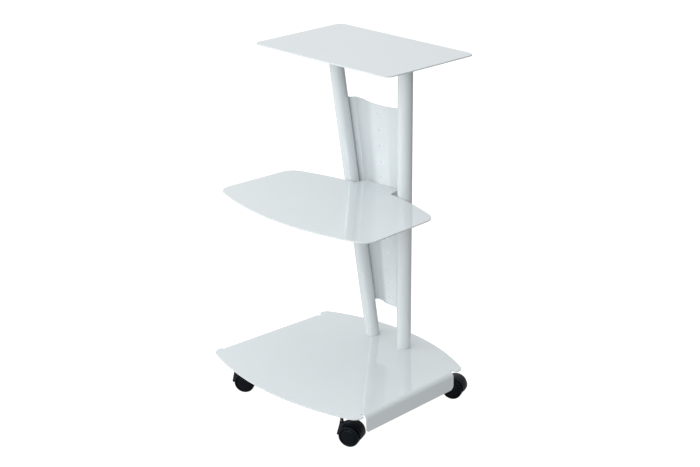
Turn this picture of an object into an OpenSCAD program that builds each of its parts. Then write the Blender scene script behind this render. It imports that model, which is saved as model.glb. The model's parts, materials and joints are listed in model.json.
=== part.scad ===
// Rolling salon trolley. Two splayed posts lean forward from a bowed base plate on four hooded
// twin-wheel casters. They carry a flat top shelf and a creased back panel, and a bowed middle
// shelf hangs from the panel's row of height holes.
// Origin: on the floor, in the middle of the base plate. The front faces -Y.

/* [Heights] */
// Floor to the top shelf's upper face
overall_h = 840; // [780:5:900]
// Floor to the base plate's upper face
base_h = 83; // [82:1:95]
// Panel hole, counted from 0 at the top, that takes the upper bolt of the middle shelf
shelf_hole = 5; // [3:1:7]

/* [Sheet] */
// Thickness of the shelves and the base plate
sheet_t = 3; // [2:0.5:4]
// Thickness of the back panel
panel_t = 2; // [1.5:0.5:2.5]

/* [Base plate] */
// Half width of the front ears
base_front_half = 257.8; // [256:0.2:262]
// Half width of the rear ears
base_rear_half = 245; // [244:0.5:249]
// Distance from the middle to the front apex, and to the rear apex
base_half_depth = 232.6; // [228:0.2:240]
// Radius of the front edge
base_front_bow = 705; // [650:5:800]
// Radius of the rear edge
base_rear_bow = 540; // [500:5:600]
// Height of the side flanges
flange_h = 43; // [36:1:50]

/* [Posts] */
// Outer diameter of the tubes
post_d = 35; // [33:1:36]
// Wall thickness of the tubes
post_wall = 1.5; // [1.2:0.1:2]
// Half the distance between the tubes at the base plate
foot_x = 55.2; // [50:0.2:60]
// Half the distance between the tubes at the top shelf's upper face
head_x = 121.3; // [115:0.1:128]
// Distance of the tubes behind the middle at the base plate
foot_y = 164; // [155:1:170]
// Distance of the tubes behind the middle at the top shelf's upper face
head_y = 110.6; // [105:0.2:118]

/* [Shelves] */
// Width of the top shelf
top_w = 450; // [400:10:500]
// Depth of the top shelf
top_depth = 278; // [250:2:300]
// Depth of the middle shelf from the panel to its front apex
mid_depth = 340; // [320:2:360]
// Half width of the middle shelf near its front
mid_front_half = 258; // [250:1:264]
// Half width of the middle shelf near its rear
mid_rear_half = 250; // [244:1:256]

/* [Back panel] */
// Lower edge of the panel, measured up the posts
panel_low = 89; // [80:1:95]
// Upper edge of the panel, measured up the posts
panel_high = 613; // [610:1:625]
// Number of height holes
hole_count = 13; // [13:1:13]
// Distance between the height holes
hole_pitch = 40; // [40:1:40]
// Depth of the panel's side troughs as a part of the post spacing
trough = 0.094; // [0.05:0.002:0.11]

/* [Casters] */
// Distance of the swivel axes from the middle, sideways
caster_x = 191.2; // [186:0.2:194]
// Distance of the swivel axes from the middle, front to rear
caster_y = 169; // [165:0.5:172]
// Wheel diameter
wheel_d = 50; // [48:1:50]
// Swivel angle of the front right caster
yaw_front_right = 24.4; // [0:0.1:360]
// Swivel angle of the front left caster
yaw_front_left = 36; // [0:0.1:360]
// Swivel angle of the rear right caster
yaw_rear_right = 24.9; // [0:0.1:360]
// Swivel angle of the rear left caster
yaw_rear_left = 27; // [0:0.1:360]

/* [Hidden] */
PAINT = [0.93, 0.94, 0.95];
NYLON = [0.07, 0.07, 0.08];
BLACK = [0.12, 0.12, 0.13];
ZINC = [0.72, 0.73, 0.75];
fit_gap = 0.05;
cut = 1;
$fn = 64;

// The posts' leaning frame: its origin is on the base plate, X is sideways, Y is square to the
// posts towards the rear and Z runs up the posts.
post_rise = overall_h - base_h;
lean = atan2(foot_y - head_y, post_rise);
post_run = post_rise / cos(lean);
spread = (head_x - foot_x) / post_run;
splay = atan(spread);
post_r = post_d / 2;
function post_x(w) = foot_x + spread * w;
function lean_y(v, w) = foot_y + v * cos(lean) - w * sin(lean);
function lean_z(v, w) = base_h + v * sin(lean) + w * cos(lean);

// Back panel
panel_front = post_r + fit_gap;
strip_half = 14;
seam_in = 6;
seam_out = 3.5;
seam_screw = 1.2;
hole_r = 2.75;
hole_top = panel_high - 22;
function hole_w(k) = hole_top - k * hole_pitch;
screw_rows = [panel_low + 26, (panel_low + panel_high) / 2, panel_high - 26];

// Top shelf and the strap that joins the tubes beneath it
strap_t = 4;
strap_w = 300;
strap_depth = 70;
sink = 2.95;
strap_top = overall_h - sheet_t;
post_top = strap_top - strap_t;
function post_y_at(z) = foot_y - (z - base_h) * tan(lean);
function post_x_at(z) = foot_x + (z - base_h) * (head_x - foot_x) / post_rise;
strap_y = post_y_at(post_top);
top_y = 91.2;
top_corner = 20;
stud_x = 60;
stud_y = 24;
stud_out = 8;

// Middle shelf: its own frame has its origin on the panel's face, level with its upper face
shelf_bolt_drop = 17.2;
shelf_z = lean_z(post_r, hole_w(shelf_hole)) + shelf_bolt_drop + sheet_t;
shelf_y = post_y_at(shelf_z) + post_r / cos(lean);
mid_front_bow = 720;
mid_rear_bow = 681;
mid_rear_apex = -32;
mid_front_corner = 36;
mid_rear_corner = 40;
panel_gap = 0.3;

// Screws and nuts
m4_r = 2;
m4_hole_r = 2.25;
m4_head_r = 3.8;
m4_head_h = 2.2;
m4_key = 1.4;
m5_r = 2.5;
m5_head_r = 4.75;
m5_head_h = 2.7;
m5_key = 1.7;
m5_across = 8;
m5_nut_h = 4.7;
m5_flange_r = 5.9;
m5_flange_h = 1;
m6_r = 3;
m6_head_r = 6;
m6_key = 2.3;
m8_r = 4;
m8_across = 13;
m8_head_h = 5.3;
washer_t = 1.6;
washer_r = 12;
plug_len = 25;
thread_depth = 18;

// Base plate
bend_r = 10.8;
flange_front = -153.5;
flange_rear = 142.5;
relief_front = 6.5;
relief_rear = 10;
relief_in = 2;
bend_steps = 9;
ear_r = 5.5;
flange_half_front = 257.5;
flange_taper = 2.4;
function flange_x(y) = flange_half_front - (y + 140) * tan(flange_taper);

// Casters
trail = 24.7;
wheel_r = wheel_d / 2;
web_half = 3;
wheel_in = 3.5;
wheel_w = 20;
hub_r = 16.4;
hub_rise = 1.5;
groove_depth = 2;
hood_r = wheel_r + 3.5;
hood_rim_r = wheel_r + 2.3;
hood_in = wheel_r + 0.9;
hood_half = 17;
hood_low = 22.2;
hood_tilt = 2.4;
skirt_low = hood_low + 1.4;
skirt_r = 3;
skirt_x = -4;
axle_r = 3;
axle_boss_r = 8;
blind = 4;
stem_r = m8_r;
stem_low = 42;
neck_r = 5.3;
neck_low = 44;
neck_top = 50;
ridge_x = 12;
boss_z = 61;
boss_r = 6.5;

// ---- Outlines ----

// Points on an arc about (cx, cy)
function arc(cx, cy, r, a0, a1, n) = [
    for (i = [0 : n])
        let (a = a0 + (a1 - a0) * i / n)
        [cx + r * cos(a), cy + r * sin(a)]
];

function unit(v) = v / norm(v);

// The rounded corner of radius r at b, on the way from a to c
function turn(a, b, c, r, n = 6) =
    let (u = unit(a - b))
    let (v = unit(c - b))
    let (half = acos(u * v) / 2)
    let (centre = b + unit(u + v) * r / sin(half))
    let (start = b + u * r / tan(half) - centre)
    let (stop = b + v * r / tan(half) - centre)
    let (a0 = atan2(start.y, start.x))
    let (sweep = (atan2(stop.y, stop.x) - a0 + 540) % 360 - 180)
    arc(centre.x, centre.y, r, a0, a0 + sweep, n);

// A path without its repeated points
function clean(p) = [
    for (i = [0 : len(p) - 1])
        if (i == 0 || norm(p[i] - p[max(i - 1, 0)]) > 0.001) p[i]
];

// The right half of an outline, from its front to its rear, closed by its mirror image
function both_sides(p) = concat(p, [for (i = [len(p) - 2 : -1 : 1]) [-p[i].x, p[i].y]]);

// Centre of a corner of radius r that is tangent inside a bow of radius bow about (0, c)
function corner_y(c, bow, half, r, side) = c + side * sqrt(pow(bow - r, 2) - pow(half - r, 2));

// Angle of the side line that touches both corners of one side
function side_angle(f, fr, b, br) =
    asin((fr - br) / norm(b - f)) - atan2(b.x - f.x, b.y - f.y);

function rounded_rect(w, d, r) =
    let (p = [[w / 2, -d / 2], [w / 2, d / 2], [-w / 2, d / 2], [-w / 2, -d / 2]])
    [for (i = [0 : 3]) each turn(p[(i + 3) % 4], p[i], p[(i + 1) % 4], r, 8)];

// ---- Frames ----

module leaning() {
    translate([0, foot_y, base_h]) rotate([lean, 0, 0]) children();
}

// A child drawn along +Z from the panel's rear face, pointing to the rear, at (x, w)
module behind_panel(x, w) {
    leaning()
        translate([x, panel_front + panel_t, w])
            rotate([-90, 0, 0])
                children();
}

module both() {
    children();
    mirror([1, 0, 0]) children();
}

// A child drawn along Z about the local Y axis through the wheel centre
module at_axle() {
    translate([trail, 0, wheel_r]) rotate([90, 0, 0]) children();
}

// ---- Bent sheets ----

// Two triangles for the face a-b-c-d
function quad(a, b, c, d) = [[a, b, c], [a, c, d]];

// A bent sheet from four rows of surface points: the first and the second along its two ends on one
// side, the third and the fourth along the same ends, in reverse order, on the other side
module bent_sheet(rows) {
    n = len(rows[0]);
    bands = [for (r = [0 : 3], i = [0 : n - 2])
        each quad((r + 1) % 4 * n + i, (r + 1) % 4 * n + i + 1, r * n + i + 1, r * n + i)];
    ends = concat(quad(3 * n, 2 * n, n, 0), quad(2 * n - 1, 3 * n - 1, 4 * n - 1, n - 1));
    polyhedron(points = [for (row = rows) each row], faces = concat(bands, ends));
}

// ---- Fasteners ----

// Button head that rises along +Z, with a hex socket
module button_head(r, h, key) {
    difference() {
        rotate_extrude()
            polygon(concat(
                [[0, 0], [r, 0], [r, 0.3 * h]],
                [for (i = [1 : 5]) [r * cos(i * 16), 0.3 * h + 0.7 * h * sin(i * 18)]],
                [[0, h]]));
        translate([0, 0, 0.45 * h]) cylinder(r = key, h = h, $fn = 6);
    }
}

module hex_nut(r, across, h) {
    difference() {
        cylinder(r = across / sqrt(3), h = h, $fn = 6);
        translate([0, 0, -cut]) cylinder(r = r, h = h + 2 * cut);
    }
}

// ---- Base ----

base_front_corner = 23.8;
base_rear_corner = 20;
base_fc = base_front_bow - base_half_depth;
base_rc = base_half_depth - base_rear_bow;
base_f = [
    base_front_half - base_front_corner,
    corner_y(base_fc, base_front_bow, base_front_half, base_front_corner, -1)
];
base_r = [
    base_rear_half - base_rear_corner,
    corner_y(base_rc, base_rear_bow, base_rear_half, base_rear_corner, 1)
];
base_side = side_angle(base_f, base_front_corner, base_r, base_rear_corner);
function base_edge_x(y) =
    base_f.x + base_front_corner / cos(base_side) - (y - base_f.y) * tan(base_side);

// The bent part of the side starts behind a relief slot and ends in front of another
function base_side_points() =
    let (front = flange_front - relief_front)
    let (rear = flange_rear + relief_rear)
    let (f0 = [base_edge_x(front), front])
    let (f3 = [flange_x(flange_front) - bend_r, flange_front])
    let (f2 = [f3.x - relief_in, f3.y])
    let (f1 = [f2.x, front])
    let (r3 = [flange_x(flange_rear) - bend_r, flange_rear])
    let (r2 = [r3.x - relief_in, r3.y])
    let (r1 = [r2.x, rear])
    let (r0 = [base_edge_x(rear), rear])
    concat(
        turn([base_edge_x(base_f.y), base_f.y], f0, f1, ear_r),
        turn(f0, f1, f2, relief_in, 3),
        [f2, f3, r3, r2],
        turn(r2, r1, r0, relief_in, 3),
        turn(r1, r0, [base_edge_x(base_r.y), base_r.y], ear_r));

function base_outline() = both_sides(clean(concat(
    arc(0, base_fc, base_front_bow, -90, atan2(base_f.y - base_fc, base_f.x), 20),
    arc(base_f.x, base_f.y, base_front_corner,
        atan2(base_f.y - base_fc, base_f.x), base_side, 10),
    base_side_points(),
    arc(base_r.x, base_r.y, base_rear_corner,
        base_side, atan2(base_r.y - base_rc, base_r.x), 10),
    arc(0, base_rc, base_rear_bow, atan2(base_r.y - base_rc, base_r.x), 90, 20))));

// A row of points at y along one surface of a side flange, from the bend's start to the leg's foot
function flange_row(y, r) =
    let (x = flange_x(y) - bend_r)
    concat(
        [for (i = [0 : bend_steps])
            let (a = 90 * i / bend_steps)
            [x + r * sin(a), y, base_h - bend_r + r * cos(a)]],
        [[x + r, y, base_h - flange_h]]);

// Side view of a flange, with its lower corners rounded
function flange_view() =
    let (low = base_h - flange_h)
    let (p = [
        [flange_front, base_h + cut], [flange_front, low], [flange_rear, low],
        [flange_rear, base_h + cut]
    ])
    concat([p[0]], turn(p[0], p[1], p[2], 8), turn(p[1], p[2], p[3], 12), [p[3]]);

module side_flange() {
    intersection() {
        bent_sheet([
            flange_row(flange_front, bend_r), flange_row(flange_rear, bend_r),
            flange_row(flange_rear, bend_r - sheet_t), flange_row(flange_front, bend_r - sheet_t)
        ]);
        translate([200, 0, 0])
            rotate([90, 0, 90])
                linear_extrude(100)
                    polygon(flange_view());
    }
}

module base_plate() {
    color(PAINT)
    difference() {
        union() {
            translate([0, 0, base_h - sheet_t]) linear_extrude(sheet_t) polygon(base_outline());
            both() side_flange();
        }
        both() translate([foot_x, foot_y, base_h - 2 * sheet_t])
            cylinder(r = m8_r + 0.3, h = 3 * sheet_t);
    }
}

module caster_bosses() {
    color(PAINT)
    for (x = [-caster_x, caster_x], y = [-caster_y, caster_y])
        translate([x, y, boss_z])
            difference() {
                cylinder(r = boss_r, h = base_h - sheet_t - boss_z);
                translate([0, 0, -cut]) cylinder(r = stem_r, h = base_h - boss_z);
            }
}

module base_bolts() {
    color(ZINC)
    both() translate([foot_x, foot_y, base_h - sheet_t - washer_t]) {
        translate([0, 0, -m8_head_h]) cylinder(r = m8_across / sqrt(3), h = m8_head_h, $fn = 6);
        cylinder(r = m8_r - fit_gap, h = washer_t + sheet_t + thread_depth);
    }
}

module base_washers() {
    color(ZINC)
    both() translate([foot_x, foot_y, base_h - sheet_t - washer_t])
        difference() {
            cylinder(r = washer_r, h = washer_t);
            translate([0, 0, -cut]) cylinder(r = m8_r + 0.2, h = washer_t + 2 * cut);
        }
}

// ---- Posts ----

// A rod on the right post's axis, cut level at both ends
module post_rod(r, low, high) {
    intersection() {
        leaning()
            translate([foot_x, 0, 0])
                rotate([0, splay, 0])
                    translate([0, 0, -post_d])
                        cylinder(r = r, h = post_run + 2 * post_d);
        translate([0, 0, low]) linear_extrude(high - low) square(600, center = true);
    }
}

module upright() {
    color(PAINT)
    difference() {
        post_rod(post_r, base_h, post_top);
        post_rod(post_r - post_wall, base_h - cut, post_top + cut);
        for (w = screw_rows)
            leaning()
                translate([post_x(w) - seam_screw, 0, w])
                    rotate([-90, 0, 0])
                        cylinder(r = m4_r, h = post_d);
    }
}

module left_upright() {
    mirror([1, 0, 0]) upright();
}

module right_upright() {
    upright();
}

module upright_foot_plugs() {
    color(ZINC)
    both() difference() {
        post_rod(post_r - post_wall - fit_gap, base_h, base_h + plug_len);
        translate([foot_x, foot_y, base_h - cut]) cylinder(r = m8_r, h = thread_depth + 2 * cut);
    }
}

module upright_head_plugs() {
    color(ZINC)
    both() difference() {
        post_rod(post_r - post_wall - fit_gap, post_top - plug_len, post_top);
        translate([post_x_at(post_top), strap_y, post_top - thread_depth - cut])
            cylinder(r = m6_r, h = thread_depth + 2 * cut);
    }
}

// ---- Top shelf ----

module top_strap() {
    color(PAINT)
    difference() {
        translate([0, strap_y, post_top])
            linear_extrude(strap_t)
                polygon(rounded_rect(strap_w, strap_depth, 10));
        both() {
            translate([post_x_at(post_top), strap_y, post_top - cut])
                cylinder(r = m6_r + 0.2, h = strap_t + 2 * cut);
            translate([post_x_at(post_top), strap_y, strap_top - sink - 0.15])
                cylinder(r1 = m6_r + 0.2, r2 = m6_head_r + 0.3, h = sink + 0.16);
            for (y = [-stud_y, stud_y])
                translate([stud_x, strap_y + y, post_top - cut])
                    cylinder(r = hole_r, h = strap_t + 2 * cut);
        }
    }
}

module top_strap_screws() {
    color(ZINC)
    both() translate([post_x_at(post_top), strap_y, strap_top]) {
        difference() {
            translate([0, 0, -sink]) cylinder(r1 = m6_r, r2 = m6_head_r - 0.1, h = sink - 0.1);
            translate([0, 0, -0.6 * sink]) cylinder(r = m6_key, h = sink, $fn = 6);
        }
        translate([0, 0, 1 - strap_t - thread_depth])
            cylinder(r = m6_r - fit_gap, h = strap_t + thread_depth - 1 - sink + fit_gap);
    }
}

module top_shelf() {
    color(PAINT)
    translate([0, top_y, strap_top])
        linear_extrude(sheet_t)
            polygon(rounded_rect(top_w, top_depth, top_corner));
}

module top_shelf_studs() {
    color(ZINC)
    both() for (y = [-stud_y, stud_y])
        translate([stud_x, strap_y + y, post_top - stud_out])
            cylinder(r = m5_r - fit_gap, h = strap_t + stud_out);
}

module top_shelf_nuts() {
    color(ZINC)
    both() for (y = [-stud_y, stud_y])
        translate([stud_x, strap_y + y, post_top])
            mirror([0, 0, 1]) {
                hex_nut(m5_r, m5_across, m5_nut_h);
                difference() {
                    cylinder(r = m5_flange_r, h = m5_flange_h);
                    translate([0, 0, -cut]) cylinder(r = m5_r, h = m5_flange_h + 2 * cut);
                }
            }
}

// ---- Back panel ----

// The panel's front face at post distance w: a flat strip, a trough and a flat seam behind the
// tube. Every bend line runs straight up the panel, and its distance from the middle follows the
// posts.
function panel_profile(w) =
    let (x0 = post_x(w))
    let (depth = trough * x0)
    concat(
        [for (i = [0 : 14])
            let (t = i / 14)
            [strip_half + (0.68 * x0 - strip_half) * t,
             panel_front + depth * (1 - cos(180 * t)) / 2]],
        [for (i = [0 : 8])
            let (t = i / 8)
            [0.8 * x0 + (0.2 * x0 - seam_in) * t,
             panel_front + depth * (1 + cos(180 * t)) / 2]],
        [[x0 + seam_out, panel_front]]);

function panel_row(w, rear) =
    let (p = panel_profile(w))
    concat(
        [for (i = [len(p) - 1 : -1 : 0]) [-p[i].x, p[i].y + rear, w]],
        [for (q = p) [q.x, q.y + rear, w]]);

module back_panel() {
    color(PAINT)
    difference() {
        leaning()
            bent_sheet([
                panel_row(panel_low, 0), panel_row(panel_high, 0),
                panel_row(panel_high, panel_t), panel_row(panel_low, panel_t)
            ]);
        for (k = [0 : hole_count - 1])
            behind_panel(0, hole_w(k))
                cylinder(r = hole_r, h = 30, center = true);
        for (w = screw_rows, side = [-1, 1])
            behind_panel(side * (post_x(w) - seam_screw), w)
                cylinder(r = m4_hole_r, h = 30, center = true);
    }
}

module panel_screws() {
    color(ZINC)
    for (w = screw_rows, side = [-1, 1])
        behind_panel(side * (post_x(w) - seam_screw), w) {
            button_head(m4_head_r, m4_head_h, m4_key);
            translate([0, 0, -8]) cylinder(r = m4_r - fit_gap, h = 8);
        }
}

// ---- Middle shelf ----

mid_fc = mid_front_bow - mid_depth;
mid_rc = mid_rear_apex - mid_rear_bow;
mid_f = [
    mid_front_half - mid_front_corner,
    corner_y(mid_fc, mid_front_bow, mid_front_half, mid_front_corner, -1)
];
mid_r = [
    mid_rear_half - mid_rear_corner,
    corner_y(mid_rc, mid_rear_bow, mid_rear_half, mid_rear_corner, 1)
];
mid_side = side_angle(mid_f, mid_front_corner, mid_r, mid_rear_corner);
tongue_root = 62;
tongue_half = 52.5;

// The tongue's side runs from the rear bow to the panel, past the inside of a post
function tongue_points() =
    let (root = [tongue_root, mid_rc + sqrt(pow(mid_rear_bow, 2) - pow(tongue_root, 2))])
    let (waist = [tongue_half + 2.5, root.y + 25])
    let (end = [tongue_half, -panel_gap])
    let (wide = [root.x + 60, mid_rc + sqrt(pow(mid_rear_bow, 2) - pow(root.x + 60, 2))])
    concat(
        turn(wide, root, waist, 2.5),
        turn(root, waist, end, 8),
        [end]);

function mid_outline() = both_sides(clean(concat(
    arc(0, mid_fc, mid_front_bow, -90, atan2(mid_f.y - mid_fc, mid_f.x), 20),
    arc(mid_f.x, mid_f.y, mid_front_corner,
        atan2(mid_f.y - mid_fc, mid_f.x), mid_side, 10),
    arc(mid_r.x, mid_r.y, mid_rear_corner,
        mid_side, atan2(mid_r.y - mid_rc, mid_r.x), 12),
    arc(0, mid_rc, mid_rear_bow,
        atan2(mid_r.y - mid_rc, mid_r.x), acos((tongue_root + 8) / mid_rear_bow), 12),
    tongue_points(),
    [[0, -panel_gap]])));

module at_shelf() {
    translate([0, shelf_y, shelf_z]) children();
}

module middle_shelf() {
    color(PAINT)
    at_shelf()
        translate([0, 0, -sheet_t])
            linear_extrude(sheet_t)
                polygon(mid_outline());
}

bracket_t = 3;
bracket_reach = 150;
bracket_half = 30;
rib_x = strip_half - bracket_t;

module middle_shelf_bracket() {
    upper = hole_w(shelf_hole);
    lower = hole_w(shelf_hole + 1) - 13;
    under = -sheet_t;
    foot = [lean_y(post_r, lower) - shelf_y, lean_z(post_r, lower) - shelf_z];
    color(PAINT)
    difference() {
        union() {
            // Leg on the panel's flat strip
            intersection() {
                leaning()
                    translate([-strip_half, post_r - bracket_t, lower])
                        cube([2 * strip_half, bracket_t, 2 * hole_pitch]);
                at_shelf() translate([-100, -100, under - 200]) cube([200, 200, 200]);
            }
            // Seat under the shelf
            at_shelf()
                translate([-bracket_half, -bracket_reach, under - bracket_t])
                    cube([2 * bracket_half, bracket_reach - 1, bracket_t]);
            // Two ribs
            at_shelf()
                for (x = [-strip_half, rib_x])
                    translate([x, 0, 0])
                        rotate([90, 0, 90])
                            linear_extrude(bracket_t)
                                polygon([
                                    [-bracket_reach + 8, under - 1],
                                    [-bracket_reach + 8, under - 14],
                                    [foot.x - 12, foot.y],
                                    [foot.x - 1, foot.y],
                                    [-1, under - 1]
                                ]);
        }
        for (w = [upper, upper - hole_pitch])
            behind_panel(0, w)
                cylinder(r = hole_r, h = 30, center = true);
    }
}

module middle_shelf_bolts() {
    color(ZINC)
    for (k = [0, 1])
        behind_panel(0, hole_w(shelf_hole + k)) {
            button_head(m5_head_r, m5_head_h, m5_key);
            translate([0, 0, -13]) cylinder(r = m5_r - fit_gap, h = 13);
        }
}

module middle_shelf_nuts() {
    color(ZINC)
    for (k = [0, 1])
        behind_panel(0, hole_w(shelf_hole + k))
            translate([0, 0, -panel_t - fit_gap - bracket_t - m5_nut_h])
                hex_nut(m5_r, m5_across, m5_nut_h);
}

// ---- Casters ----
// Each is drawn about its swivel axis, with the wheels trailing along +X.

module front_right() { translate([caster_x, -caster_y, 0]) rotate(yaw_front_right) children(); }
module front_left() { translate([-caster_x, -caster_y, 0]) rotate(yaw_front_left) children(); }
module rear_right() { translate([caster_x, caster_y, 0]) rotate(yaw_rear_right) children(); }
module rear_left() { translate([-caster_x, caster_y, 0]) rotate(yaw_rear_left) children(); }

module caster_stem() {
    color(BLACK) {
        translate([0, 0, stem_low + fit_gap]) cylinder(r = stem_r, h = boss_z - stem_low - fit_gap);
        translate([0, 0, boss_z - cut]) cylinder(r = stem_r - fit_gap, h = thread_depth + cut);
    }
}

// Turned outer form of the hood: a crowned disc with rounded rims
module hood_disc() {
    rim = 0.8;
    edge = hood_half - rim;
    rotate_extrude()
        polygon(concat(
            [[0, -hood_half]],
            arc(hood_rim_r - rim, -edge, rim, -90, 0, 3),
            [for (i = [-7 : 7]) [hood_r - (hood_r - hood_rim_r) * pow(i / 8, 2), edge * i / 8]],
            arc(hood_rim_r - rim, edge, rim, 0, 90, 3),
            [[0, hood_half]]));
}

module caster_hood() {
    color(NYLON)
    difference() {
        union() {
            // Guard over the wheels, cut along its lower edge
            intersection() {
                at_axle() hood_disc();
                translate([trail, 0, hood_low])
                    rotate([0, hood_tilt, 0])
                        translate([-50, -25, 0])
                            cube([100, 50, 50]);
            }
            // Skirt that rises straight from its low front edge to the neck, and a ridge behind it
            hull() {
                for (y = [-1, 1])
                    translate([skirt_x, y * (hood_half - skirt_r), skirt_low])
                        cylinder(r = skirt_r, h = 2, $fn = 32);
                translate([0, 0, neck_low]) cylinder(r = neck_r, h = 2, $fn = 32);
                translate([ridge_x, 0, neck_top - 0.5])
                    rotate([90, 0, 0])
                        cylinder(r = 3, h = 14, center = true, $fn = 32);
            }
            translate([0, 0, neck_low]) cylinder(r = neck_r, h = neck_top - neck_low);
            // Axle boss
            at_axle() cylinder(r = axle_boss_r, h = 2 * web_half, center = true);
        }
        for (side = [-1, 1])
            at_axle()
                translate([0, 0, side * (web_half + 10)])
                    cylinder(r = hood_in, h = 20, center = true);
        at_axle() cylinder(r = axle_r + 0.02, h = 50, center = true);
        translate([0, 0, stem_low]) cylinder(r = stem_r + fit_gap, h = 20);
    }
}

module caster_axle() {
    color(ZINC)
    at_axle() cylinder(r = axle_r, h = 2 * (wheel_in + wheel_w - blind - 0.3), center = true);
}

// Half section of a wheel from its inner face up: tread, groove ring, domed hub and blind bore
module wheel_section() {
    bore = axle_r + fit_gap;
    polygon(concat(
        [[bore, 0], [9, 0], [10, 2.5], [19, 2.5], [20.5, 0.5]],
        arc(wheel_r - 2.5, 3, 2.5, -90, 0, 5),
        arc(wheel_r - 3, wheel_w - 3, 3, 0, 90, 6),
        [[20.8, wheel_w], [19.8, wheel_w - groove_depth], [hub_r + 0.8, wheel_w - groove_depth]],
        [for (i = [0 : 6]) [hub_r * cos(i * 15), wheel_w - 0.6 + (hub_rise + 0.6) * sin(i * 15)]],
        [[0, wheel_w - blind], [bore, wheel_w - blind]]));
}

module caster_wheel(side) {
    color(NYLON)
    translate([trail, side * wheel_in, wheel_r])
        rotate([-90 * side, 0, 0])
            rotate_extrude()
                wheel_section();
}

base_plate();
caster_bosses();
base_bolts();
base_washers();
left_upright();
right_upright();
upright_foot_plugs();
upright_head_plugs();
top_strap();
top_strap_screws();
top_shelf();
top_shelf_studs();
top_shelf_nuts();
back_panel();
panel_screws();
middle_shelf();
middle_shelf_bracket();
middle_shelf_bolts();
middle_shelf_nuts();
front_right() caster_stem();  // front_right_caster_stem
front_right() caster_hood();  // front_right_caster_hood
front_right() caster_axle();  // front_right_caster_axle
front_right() caster_wheel(1);  // front_right_caster_left_wheel
front_right() caster_wheel(-1);  // front_right_caster_right_wheel
front_left() caster_stem();  // front_left_caster_stem
front_left() caster_hood();  // front_left_caster_hood
front_left() caster_axle();  // front_left_caster_axle
front_left() caster_wheel(1);  // front_left_caster_left_wheel
front_left() caster_wheel(-1);  // front_left_caster_right_wheel
rear_right() caster_stem();  // rear_right_caster_stem
rear_right() caster_hood();  // rear_right_caster_hood
rear_right() caster_axle();  // rear_right_caster_axle
rear_right() caster_wheel(1);  // rear_right_caster_left_wheel
rear_right() caster_wheel(-1);  // rear_right_caster_right_wheel
rear_left() caster_stem();  // rear_left_caster_stem
rear_left() caster_hood();  // rear_left_caster_hood
rear_left() caster_axle();  // rear_left_caster_axle
rear_left() caster_wheel(1);  // rear_left_caster_left_wheel
rear_left() caster_wheel(-1);  // rear_left_caster_right_wheel
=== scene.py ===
"""Looks of the rolling salon trolley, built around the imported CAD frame.

Every visible piece is a refined copy of its CAD node: welded, its flat faces merged, its edges
rounded by the radius that its making leaves, and shaded by a procedural material.

Lengths are in metres, as in the frame, and names that end in _MM are in millimetres.
"""

import json
import math

import bmesh
import bpy
from mathutils import Matrix, Vector

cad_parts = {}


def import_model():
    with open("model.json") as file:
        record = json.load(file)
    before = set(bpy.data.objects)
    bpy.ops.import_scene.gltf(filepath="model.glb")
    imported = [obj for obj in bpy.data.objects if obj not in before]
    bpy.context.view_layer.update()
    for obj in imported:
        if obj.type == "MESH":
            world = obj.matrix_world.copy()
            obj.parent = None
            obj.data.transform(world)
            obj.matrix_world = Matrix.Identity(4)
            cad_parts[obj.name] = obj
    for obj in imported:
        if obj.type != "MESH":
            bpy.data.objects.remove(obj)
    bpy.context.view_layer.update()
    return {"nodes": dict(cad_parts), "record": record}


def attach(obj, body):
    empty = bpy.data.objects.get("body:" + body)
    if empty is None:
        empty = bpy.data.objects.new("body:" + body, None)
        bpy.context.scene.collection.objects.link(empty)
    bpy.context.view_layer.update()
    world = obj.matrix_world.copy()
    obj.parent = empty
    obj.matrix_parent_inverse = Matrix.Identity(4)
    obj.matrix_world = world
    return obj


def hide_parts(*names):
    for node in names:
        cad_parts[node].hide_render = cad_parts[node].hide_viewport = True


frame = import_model()

MM = 0.001


# ---- Node materials ----

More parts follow.
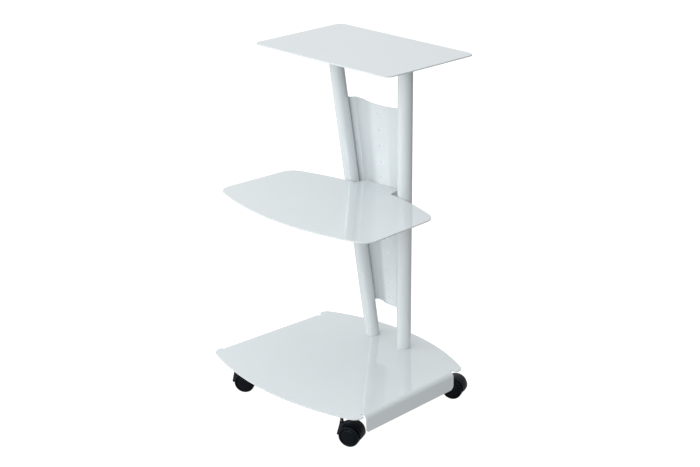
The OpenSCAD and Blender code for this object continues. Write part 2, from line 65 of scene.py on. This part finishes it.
class Shader:
    """A node material under construction, around its Principled BSDF."""

    # A Mix node has sockets for every data type. These are the colour ones.
    COLOUR_A, COLOUR_B, COLOUR_RESULT = 6, 7, 2

    def __init__(self, name):
        self.material = bpy.data.materials.new(name)
        self.material.use_nodes = True
        self.tree = self.material.node_tree
        self.bsdf = self.tree.nodes["Principled BSDF"]
        self.place = self.add("ShaderNodeTexCoord").outputs["Object"]

    def feed(self, node, name, value):
        """Links a socket, or sets a plain value, on a node's input."""
        if isinstance(value, bpy.types.NodeSocket):
            self.tree.links.new(value, node.inputs[name])
        else:
            node.inputs[name].default_value = value

    def add(self, kind, inputs=None, **settings):
        node = self.tree.nodes.new(kind)
        for key, value in settings.items():
            setattr(node, key, value)
        for name, value in (inputs or {}).items():
            self.feed(node, name, value)
        return node

    def noise(self, scale, detail=2.0, roughness=0.5):
        """Noise with features of about 1 / scale metres."""
        inputs = {"Vector": self.place, "Scale": scale, "Detail": detail, "Roughness": roughness}
        return self.add("ShaderNodeTexNoise", inputs).outputs["Fac"]

    def remap(self, value, low, high, to_low, to_high):
        inputs = {"Value": value, "From Min": low, "From Max": high, "To Min": to_low, "To Max": to_high}
        return self.add("ShaderNodeMapRange", inputs).outputs["Result"]

    def maths(self, operation, a, b):
        return self.add("ShaderNodeMath", {0: a, 1: b}, operation=operation).outputs["Value"]

    def dot(self, a, b):
        node = self.add("ShaderNodeVectorMath", {0: a, 1: b}, operation="DOT_PRODUCT")
        return node.outputs["Value"]

    def mix(self, factor, a, b):
        """Colour a where the factor is 0, and colour b where it is 1."""
        inputs = {"Factor": factor, self.COLOUR_A: a, self.COLOUR_B: b}
        node = self.add("ShaderNodeMix", data_type="RGBA")
        for name, value in inputs.items():
            self.feed(node, name, value)
        return node.outputs[self.COLOUR_RESULT]

    def bump(self, height, depth_mm, strength, under=None):
        """A normal with the height pressed into it, on top of another bump if one is given."""
        inputs = {"Height": height, "Distance": depth_mm * MM, "Strength": strength}
        if under is not None:
            inputs["Normal"] = under
        return self.add("ShaderNodeBump", inputs).outputs["Normal"]

    def edges(self, radius_mm):
        """1 within about the radius of convex and concave edges, 0 on open faces."""
        rounded = self.add("ShaderNodeBevel", {"Radius": radius_mm * MM}, samples=4).outputs["Normal"]
        flat = self.add("ShaderNodeNewGeometry").outputs["Normal"]
        return self.remap(self.dot(rounded, flat), 0.99, 0.8, 0.0, 1.0)

    def surface(self, **inputs):
        for name, value in inputs.items():
            self.feed(self.bsdf, name.replace("_", " "), value)
        return self.material


def powder_coat():
    """Gloss white powder coat: orange peel, a hint of tone drift, hazy wipe marks, greyer edges: a
    thinner coat on convex edges and painted shade in concave creases.
    """
    shader = Shader("white_powder_coat")
    cool, warm = (0.63, 0.675, 0.69, 1), (0.66, 0.695, 0.71, 1)
    # The second colour on this line greys the edges: a thinner coat on convex edges, and painted shade in
    # concave creases.
    speck, thin_coat_and_crease_shade = (0.45, 0.47, 0.48, 1), (0.36, 0.38, 0.40, 1)
    drift = shader.mix(shader.noise(5, 3), cool, warm)
    specks = shader.remap(shader.noise(900, 1), 0.70, 0.80, 0.0, 0.12)
    # The edge mask takes in convex edges and concave creases, so the greying is partly a thin coat and
    # partly painted shade.
    edge = shader.maths("MULTIPLY", shader.edges(1.2), 0.5)
    colour = shader.mix(edge, shader.mix(specks, drift, speck), thin_coat_and_crease_shade)
    wiped = shader.remap(shader.noise(9, 5, 0.6), 0.35, 0.70, 0.05, 0.10)
    peel = shader.bump(shader.noise(260, 2), 0.02, 0.15)
    grain = shader.bump(shader.noise(1400, 1), 0.004, 0.3, peel)
    return shader.surface(Base_Color=colour, Roughness=wiped, IOR=1.5, Normal=grain,
                          Coat_Weight=0.6, Coat_Roughness=0.03)


def nylon():
    """Black moulded nylon: fine spark texture, satin patches, light dust and grey scuffs on its edges."""
    shader = Shader("black_nylon")
    black, dusty = (0.0006, 0.0010, 0.0022, 1), (0.016, 0.018, 0.021, 1)
    scuffed, shine = (0.04, 0.042, 0.046, 1), (0.68, 0.84, 1.0, 1)
    patches = shader.remap(shader.noise(160, 4), 0.45, 0.7, 0.0, 0.3)
    scuffs = shader.maths("MULTIPLY", shader.edges(0.8), patches)
    dust = shader.remap(shader.noise(60, 5, 0.65), 0.52, 0.8, 0.0, 0.10)
    colour = shader.mix(scuffs, shader.mix(dust, black, dusty), scuffed)
    satin = shader.remap(shader.noise(90, 4), 0.3, 0.7, 0.24, 0.36)
    sparks = shader.bump(shader.noise(2600, 2), 0.02, 0.25)
    return shader.surface(Base_Color=colour, Roughness=satin, IOR=1.53, Specular_IOR_Level=0.18,
                          Specular_Tint=shine, Normal=sparks)


def black_steel():
    """Black oxide on steel: dark satin with brown wear on its edges."""
    shader = Shader("black_steel")
    black, brown = (0.010, 0.010, 0.012, 1), (0.028, 0.025, 0.022, 1)
    worn = (0.12, 0.11, 0.10, 1)
    edge = shader.maths("MULTIPLY", shader.edges(0.5), 0.4)
    colour = shader.mix(edge, shader.mix(shader.noise(120, 4), black, brown), worn)
    satin = shader.remap(shader.noise(240, 3), 0.3, 0.7, 0.28, 0.45)
    grain = shader.bump(shader.noise(2200, 2), 0.008, 0.4)
    return shader.surface(Base_Color=colour, Roughness=satin, IOR=1.8, Normal=grain)


def zinc():
    """Zinc plate: cool steel with a faint yellow drift, a fine grain, dull patches and bright edges."""
    shader = Shader("zinc_steel")
    cool, yellow = (0.55, 0.56, 0.58, 1), (0.62, 0.61, 0.57, 1)
    rubbed = (0.75, 0.76, 0.78, 1)
    colour = shader.mix(shader.edges(0.4), shader.mix(shader.noise(70, 3), cool, yellow), rubbed)
    dull = shader.remap(shader.noise(320, 3), 0.3, 0.7, 0.22, 0.42)
    grain = shader.bump(shader.noise(1800, 2), 0.01, 0.4)
    return shader.surface(Base_Color=colour, Metallic=1.0, Roughness=dull, Normal=grain)


MATERIALS = {
    "white_powder_coat": powder_coat(),
    "black_nylon": nylon(),
    "black_steel": black_steel(),
    "zinc_steel": zinc(),
}


# ---- Refined pieces ----

# Edges sharper than this are rounded, and what stays sharper is shaded as a crease.
SHARP = math.radians(32)
# Neighbouring faces closer than this are one flat face.
FLAT = math.radians(0.4)
WELD_MM = 0.004
EDGE_MM = {"white_powder_coat": 0.5, "black_nylon": 0.5, "black_steel": 0.3, "zinc_steel": 0.3}
EDGE_STEPS = 3

SLOT = {part["node"]: part["material_slot"] for part in frame["record"]["subparts"]}
BODY = {n: body for body, names in frame["record"]["behaviour"]["bodies"].items() for n in names}


def is_sharp(edge):
    return edge.is_manifold and edge.calc_face_angle() > SHARP


def refined_mesh(node):
    """A welded copy of a CAD node's mesh, with merged flats and rounded edges."""
    mesh = bmesh.new()
    mesh.from_mesh(frame["nodes"][node].data)
    bmesh.ops.remove_doubles(mesh, verts=mesh.verts, dist=WELD_MM * MM)
    bmesh.ops.dissolve_limit(mesh, angle_limit=FLAT, verts=mesh.verts, edges=mesh.edges)
    rounded = [edge for edge in mesh.edges if is_sharp(edge)]
    bmesh.ops.bevel(mesh, geom=rounded, offset=EDGE_MM[SLOT[node]] * MM, segments=EDGE_STEPS,
                    profile=0.5, affect="EDGES", clamp_overlap=True)
    for face in mesh.faces:
        face.smooth = True
    for edge in mesh.edges:
        edge.smooth = not is_sharp(edge)
    data = bpy.data.meshes.new(node + "_surface")
    mesh.to_mesh(data)
    mesh.free()
    return data


def refine(node):
    """The visible piece of a CAD node, riding on its body."""
    data = refined_mesh(node)
    data.materials.append(MATERIALS[SLOT[node]])
    piece = bpy.data.objects.new(node + "_piece", data)
    bpy.context.scene.collection.objects.link(piece)
    flats = piece.modifiers.new("flat faces stay flat", "WEIGHTED_NORMAL")
    flats.weight = 100
    flats.keep_sharp = True
    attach(piece, BODY[node])
    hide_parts(node)


for name in frame["nodes"]:
    refine(name)


# ---- Stage ----

# How bright the floor and the sky are as lights, from their dim side to their bright side.
FLOOR_GLOW = (0.02, 0.65)
SKY_GLOW = (0.34, 1.38)
FLOOR_BRIGHT_SIDE = (-0.55, -0.83, 0)
SKY_BRIGHT_SIDE = (-0.48, -0.80, 0.35)
SKY_COLOUR = (0.97, 0.99, 1.0, 1)
# How bright they look to the camera.
FLOOR_SEEN = 1.0
SKY_SEEN = 1.05

# The floor's glow changes over this distance from its middle, and its sheet is far larger.
FLOOR_REACH = 1.2
FLOOR_HALF = 12.0
FLOOR_TONE = 0.16

# Angles of the view, and the point that it turns about.
VIEW_AZIMUTH = math.radians(47.58)
VIEW_ELEVATION = math.radians(20.85)
VIEW_ROLL = math.radians(-1.11)
VIEW_CENTRE = Vector((-0.037, 0.076, 0.3804))
VIEW_DISTANCE = 3.699
LENS_MM = 79.07
SENSOR_MM = 36.0


def add_to_scene(name, data):
    thing = bpy.data.objects.new(name, data)
    bpy.context.scene.collection.objects.link(thing)
    return thing


def floor_material():
    """White to the camera; as a light it is brightest on the front left; clear from below."""
    shader = Shader("floor")
    seen = shader.add("ShaderNodeLightPath").outputs["Is Camera Ray"]
    grain = shader.remap(shader.noise(40, 4), 0.3, 0.7, 0.86, 0.94)
    toward = shader.dot(shader.place, FLOOR_BRIGHT_SIDE)
    glow = shader.remap(toward, -FLOOR_REACH, FLOOR_REACH, *FLOOR_GLOW)
    from_below = shader.add("ShaderNodeNewGeometry").outputs["Backfacing"]
    return shader.surface(Base_Color=(FLOOR_TONE, FLOOR_TONE, FLOOR_TONE, 1), Roughness=grain,
                          Alpha=shader.maths("SUBTRACT", 1.0, from_below),
                          Emission_Color=(1, 1, 1, 1),
                          Emission_Strength=shader.remap(seen, 0.0, 1.0, glow, FLOOR_SEEN))


def floor():
    """A seamless pale sheet under the trolley."""
    data = bpy.data.meshes.new("floor")
    corners = [(x * FLOOR_HALF, y * FLOOR_HALF, 0) for x, y in ((-1, -1), (1, -1), (1, 1), (-1, 1))]
    data.from_pydata(corners, [], [(0, 1, 2, 3)])
    data.materials.append(floor_material())
    add_to_scene("floor", data)


def area_light(name, place, target, size, power):
    light = bpy.data.lights.new(name, "AREA")
    light.shape = "RECTANGLE"
    light.size, light.size_y = size
    light.energy = power
    lamp = add_to_scene(name, light)
    lamp.location = place
    lamp.rotation_euler = (Vector(target) - Vector(place)).to_track_quat("-Z", "Y").to_euler()


def world():
    """A studio, white to the camera; as a light it is brightest high on the front left."""
    studio = bpy.data.worlds.new("studio")
    studio.use_nodes = True
    bpy.context.scene.world = studio
    nodes, links = studio.node_tree.nodes, studio.node_tree.links
    direction = nodes.new("ShaderNodeTexCoord").outputs["Generated"]
    toward = nodes.new("ShaderNodeVectorMath")
    toward.operation = "DOT_PRODUCT"
    toward.inputs[1].default_value = Vector(SKY_BRIGHT_SIDE).normalized()
    links.new(direction, toward.inputs[0])
    glow = nodes.new("ShaderNodeMapRange")
    glow.inputs["From Min"].default_value = -1.0
    glow.inputs["From Max"].default_value = 1.0
    glow.inputs["To Min"].default_value = SKY_GLOW[0]
    glow.inputs["To Max"].default_value = SKY_GLOW[1]
    links.new(toward.outputs["Value"], glow.inputs["Value"])
    strength = nodes.new("ShaderNodeMix")
    strength.inputs["B"].default_value = SKY_SEEN
    links.new(nodes.new("ShaderNodeLightPath").outputs["Is Camera Ray"], strength.inputs["Factor"])
    links.new(glow.outputs["Result"], strength.inputs["A"])
    sky = nodes["Background"]
    sky.inputs["Color"].default_value = SKY_COLOUR
    links.new(strength.outputs["Result"], sky.inputs["Strength"])


def camera():
    """Looks at the centre from the front right and above, with a slight roll."""
    right = Vector((math.cos(VIEW_AZIMUTH), math.sin(VIEW_AZIMUTH), 0))
    back = Vector((math.sin(VIEW_AZIMUTH) * math.cos(VIEW_ELEVATION),
                   -math.cos(VIEW_AZIMUTH) * math.cos(VIEW_ELEVATION), math.sin(VIEW_ELEVATION)))
    up = back.cross(right)
    rolled_right = right * math.cos(VIEW_ROLL) + up * math.sin(VIEW_ROLL)
    rolled_up = up * math.cos(VIEW_ROLL) - right * math.sin(VIEW_ROLL)
    turn = Matrix((rolled_right, rolled_up, back)).transposed()
    data = bpy.data.cameras.new("camera")
    data.lens = LENS_MM
    data.sensor_width = SENSOR_MM
    eye = add_to_scene("camera", data)
    eye.matrix_world = Matrix.Translation(VIEW_CENTRE + back * VIEW_DISTANCE) @ turn.to_4x4()
    bpy.context.scene.camera = eye


floor()
world()
area_light("key", place=(-2.2, -2.6, 2.8), target=(0, 0, 0.4), size=(1.6, 1.6), power=25)
area_light("fill", place=(0.9, -3.0, 1.45), target=(0, 0.14, 0.5), size=(1.4, 0.8), power=25)
camera()
bpy.context.scene.view_settings.view_transform = "Standard"
